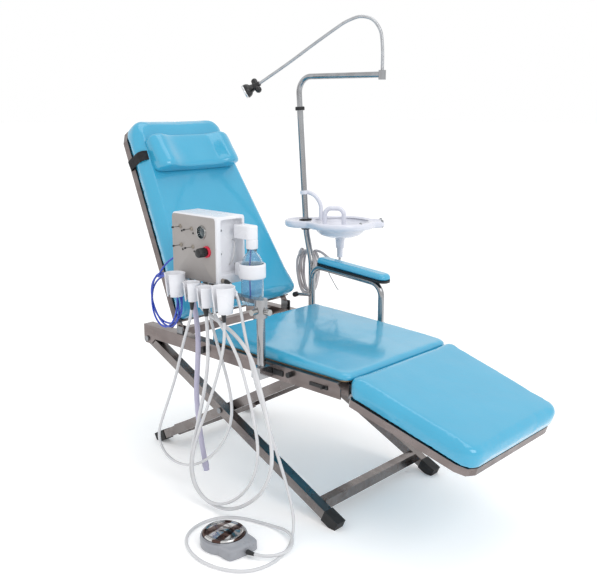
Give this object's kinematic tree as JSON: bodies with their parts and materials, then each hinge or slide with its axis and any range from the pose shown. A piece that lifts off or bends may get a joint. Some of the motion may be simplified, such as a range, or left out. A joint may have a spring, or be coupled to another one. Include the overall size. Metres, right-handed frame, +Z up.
{
  "type": "dental chair",
  "caption": "Portable folding dental chair: scissor-legged frame, reclining cushioned back, footrest, armrest, air and water delivery unit, cuspidor, gooseneck lamp and foot control.",
  "frame": {"origin": "on the floor under the middle of the bounding box of the whole object without its hoses", "axes": "+X runs from the head end to the foot end, +Y to the patient's left, +Z up"},
  "size_m": [1.4673, 1.134, 1.4508],
  "materials": {
    "blue_vinyl": "glossy upholstery vinyl",
    "plated_steel": "bright plated steel",
    "steel_hardware": "zinc-plated hardware",
    "stainless": "polished stainless plate",
    "black_plastic": "black plastic",
    "needle_white": "white needle",
    "black_rubber": "moulded rubber",
    "plywood": "plywood",
    "white_abs": "white moulded plastic",
    "panel_grey": "light grey control panel",
    "aluminium_block": "machined block",
    "clear_bottle": "clear blue-tinted bottle",
    "grey_silicone": "soft grey hose",
    "mauve_silicone": "suction hose",
    "blue_tubing": "blue air hose",
    "pedal_grey": "grey cast housing"
  },
  "bodies": {
    "seat_frame": {"seat_rail_right": "plated_steel", "seat_rail_left": "plated_steel", "seat_cross_tubes": "plated_steel", "slide_tracks": "plated_steel", "seat_board": "plywood", "seat_cushion": "blue_vinyl", "frame_sockets": "plated_steel", "pivot_bolts": "steel_hardware", "hinge_brackets": "plated_steel", "lock_latches": "black_plastic", "unit_pole": "plated_steel", "lamp_pole": "plated_steel", "pedal_base": "pedal_grey"},
    "outer_legs": {"outer_leg_frame": "plated_steel", "outer_feet": "black_rubber", "scissor_bolts": "steel_hardware"},
    "inner_legs": {"inner_leg_frame": "plated_steel", "inner_feet": "black_rubber"},
    "backrest": {"back_cushion": "blue_vinyl", "back_board": "plywood", "back_frame": "plated_steel"},
    "headrest": {"headrest_pillow": "blue_vinyl", "headrest_strap": "black_plastic"},
    "footrest": {"footrest_cushion": "blue_vinyl", "footrest_board": "plywood", "footrest_frame": "plated_steel"},
    "armrest": {"armrest_tube": "plated_steel", "armrest_base": "black_plastic", "armrest_pad": "blue_vinyl"},
    "unit": {"unit_bracket": "steel_hardware", "clamp_knobs": "steel_hardware", "unit_housing": "white_abs", "unit_panel": "panel_grey", "air_manifold": "aluminium_block", "pressure_gauge": "black_plastic", "bottle_cap": "white_abs", "water_bottle": "clear_bottle", "bottle_ring": "white_abs", "holder_bar": "white_abs", "holder_cups": "white_abs", "hose_fittings": "steel_hardware", "handpiece_hose_1": "grey_silicone", "suction_hose": "mauve_silicone", "handpiece_hose_2": "grey_silicone", "syringe_hose": "grey_silicone", "pedal_hose": "grey_silicone", "air_hose_hank": "blue_tubing"},
    "regulator": {"regulator_knob": "black_plastic"},
    "needle": {"gauge_needle": "needle_white"},
    "toggle_1": {"toggle_lever_1": "steel_hardware"},
    "toggle_2": {"toggle_lever_2": "steel_hardware"},
    "toggle_3": {"toggle_lever_3": "steel_hardware"},
    "toggle_4": {"toggle_lever_4": "steel_hardware"},
    "pedal": {"pedal_disc": "stainless"},
    "lamp_arm_body": {"lamp_arm": "plated_steel"},
    "gooseneck_body": {"lamp_gooseneck": "steel_hardware"},
    "lamp_head_body": {"lamp_head": "black_plastic"},
    "cuspidor": {"cuspidor_tray": "white_abs", "water_spouts": "white_abs", "drain_hose_hank": "grey_silicone"}
  },
  "joints": [
    {"name": "leg_fold", "type": "hinge", "parent": "seat_frame", "child": "outer_legs", "pos_m": [-0.5286, 0.0336, 0.392], "axis": [0, -1, 0], "range_deg": [0, 20]},
    {"name": "inner_leg_fold", "type": "hinge", "parent": "outer_legs", "child": "inner_legs", "pos_m": [-0.1656, 0.0336, 0.228], "axis": [0, 1, 0], "range_deg": [0, 44.3]},
    {"name": "back_recline", "type": "hinge", "parent": "seat_frame", "child": "backrest", "pos_m": [-0.3576, 0.0336, 0.452], "axis": [0, -1, 0], "range_deg": [-12, 58]},
    {"name": "headrest_slide", "type": "slide", "parent": "backrest", "child": "headrest", "axis": [-0.5045, 0, 0.8634], "range_m": [-0.15, 0.03], "deforming": ["headrest_strap"]},
    {"name": "footrest_tilt", "type": "hinge", "parent": "seat_frame", "child": "footrest", "pos_m": [0.3484, 0.0336, 0.404], "axis": [0, -1, 0], "range_deg": [-24, 15.9]},
    {"name": "armrest_lift", "type": "slide", "parent": "seat_frame", "child": "armrest", "axis": [0, 0, 1], "range_m": [0, 0.06]},
    {"name": "unit_swivel", "type": "hinge", "parent": "seat_frame", "child": "unit", "pos_m": [0.0604, -0.2514, 0.6], "axis": [0, 0, 1], "range_deg": [0, 15], "deforming": ["pedal_hose"]},
    {"name": "regulator_turn", "type": "hinge", "parent": "unit", "child": "regulator", "pos_m": [-0.1256, -0.3064, 0.751], "axis": [0, -1, 0], "range_deg": [-135, 135]},
    {"name": "needle_turn", "type": "hinge", "parent": "unit", "child": "needle", "pos_m": [-0.1486, -0.2864, 0.806], "axis": [0, -1, 0], "range_deg": [-120, 120]},
    {"name": "pedal_press", "type": "slide", "parent": "seat_frame", "child": "pedal", "axis": [0, 0, -1], "range_m": [0, 0.004], "stiffness_N_per_m": 3000, "springref_m": -0.003},
    {"name": "lamp_swivel", "type": "hinge", "parent": "seat_frame", "child": "lamp_arm_body", "pos_m": [-0.3596, 0.3536, 1.147], "axis": [-0.0741, 0, 0.9972], "range_deg": [-100, 80]},
    {"name": "gooseneck_swivel", "type": "hinge", "parent": "lamp_arm_body", "child": "gooseneck_body", "pos_m": [0.0054, 0.3536, 1.278], "axis": [0, 0, 1], "range_deg": [-90, 90]},
    {"name": "lamp_head_tilt", "type": "hinge", "parent": "gooseneck_body", "child": "lamp_head_body", "pos_m": [-0.40671, 0.18608, 1.23277], "axis": [-0.7071, 0.7071, 0], "range_deg": [-40, 40]},
    {"name": "cuspidor_swing", "type": "hinge", "parent": "seat_frame", "child": "cuspidor", "pos_m": [-0.3286, 0.3536, 0.73], "axis": [-0.0741, 0, 0.9972], "range_deg": [-5, 60]},
    {"name": "toggle_1_flip", "type": "hinge", "parent": "unit", "child": "toggle_1", "pos_m": [-0.2476, -0.2874, 0.814], "axis": [1, 0, 0], "range_deg": [-10, 10]},
    {"name": "toggle_2_flip", "type": "hinge", "parent": "unit", "child": "toggle_2", "pos_m": [-0.1946, -0.2874, 0.812], "axis": [1, 0, 0], "range_deg": [-10, 10]},
    {"name": "toggle_3_flip", "type": "hinge", "parent": "unit", "child": "toggle_3", "pos_m": [-0.2456, -0.2874, 0.758], "axis": [1, 0, 0], "range_deg": [-10, 10]},
    {"name": "toggle_4_flip", "type": "hinge", "parent": "unit", "child": "toggle_4", "pos_m": [-0.1906, -0.2874, 0.758], "axis": [1, 0, 0], "range_deg": [-10, 10]}
  ],
  "couplings": [
    {"joint": "inner_leg_fold", "follows": "leg_fold", "ratio": 2.2135}
  ]
}
